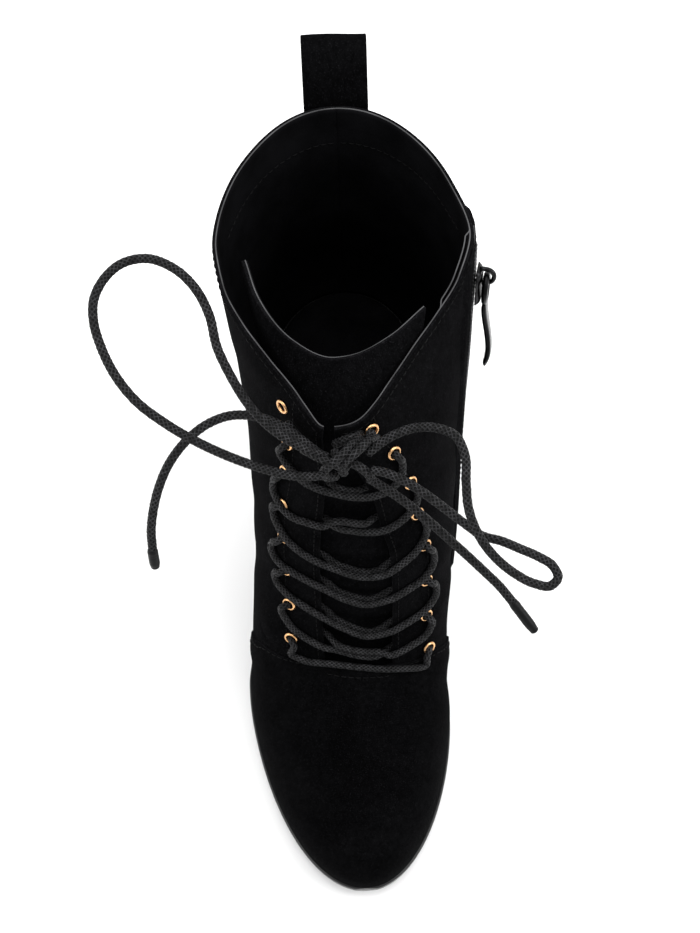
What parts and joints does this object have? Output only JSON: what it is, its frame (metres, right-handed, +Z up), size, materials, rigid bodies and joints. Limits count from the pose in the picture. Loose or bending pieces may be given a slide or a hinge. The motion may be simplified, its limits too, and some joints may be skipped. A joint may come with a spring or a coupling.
{
  "type": "lace up ankle boot",
  "caption": "Black suede-look lace-up ankle boot for the right foot, with a block heel, gold eyelets, a tied bow, an inside zip with a swinging pull and a back pull loop.",
  "frame": {"origin": "middle of the heel top piece's ground face, on the floor", "axes": "-Y towards the toe, +X towards the big toe's side, +Z up"},
  "size_m": [0.1477, 0.2451, 0.2284],
  "materials": {
    "suede_black": "napped suede",
    "lining_black": "matte cloth lining",
    "rubber_black": "smooth, slightly glossy edge",
    "lace_black": "waxed round braid",
    "eyelet_gold": "polished rose gold",
    "zip_gunmetal": "dark nickel"
  },
  "bodies": {
    "boot": {"outsole": "rubber_black", "heel_block": "suede_black", "heel_top_piece": "rubber_black", "insole": "lining_black", "upper": "suede_black", "tongue": "suede_black", "pull_loop": "suede_black", "zip_chain": "zip_gunmetal", "zip_slider": "zip_gunmetal", "eyelet_lateral_1": "eyelet_gold", "eyelet_lateral_2": "eyelet_gold", "eyelet_lateral_3": "eyelet_gold", "eyelet_lateral_4": "eyelet_gold", "eyelet_lateral_5": "eyelet_gold", "eyelet_lateral_6": "eyelet_gold", "eyelet_lateral_7": "eyelet_gold", "eyelet_lateral_8": "eyelet_gold", "eyelet_medial_1": "eyelet_gold", "eyelet_medial_2": "eyelet_gold", "eyelet_medial_3": "eyelet_gold", "eyelet_medial_4": "eyelet_gold", "eyelet_medial_5": "eyelet_gold", "eyelet_medial_6": "eyelet_gold", "eyelet_medial_7": "eyelet_gold", "eyelet_medial_8": "eyelet_gold", "lace_bar": "lace_black", "lace_crossing_2": "lace_black", "lace_crossing_3": "lace_black", "lace_crossing_4": "lace_black", "lace_crossing_5": "lace_black", "lace_crossing_6": "lace_black", "lace_crossing_7": "lace_black", "lace_lead_lateral": "lace_black", "lace_lead_medial": "lace_black", "lace_knot": "lace_black", "lace_loop_left": "lace_black", "lace_loop_right": "lace_black", "lace_end_left": "lace_black", "lace_end_right": "lace_black", "lace_tip_left": "lace_black", "lace_tip_right": "lace_black"},
    "zip_tab": {"zip_pull": "zip_gunmetal"}
  },
  "joints": [
    {"name": "zip_tab_swing", "type": "hinge", "parent": "boot", "child": "zip_tab", "pos_m": [0.04898, -0.03716, 0.18664], "axis": [-0.2005, -0.9164, 0.3464], "range_deg": [0, 165]}
  ]
}
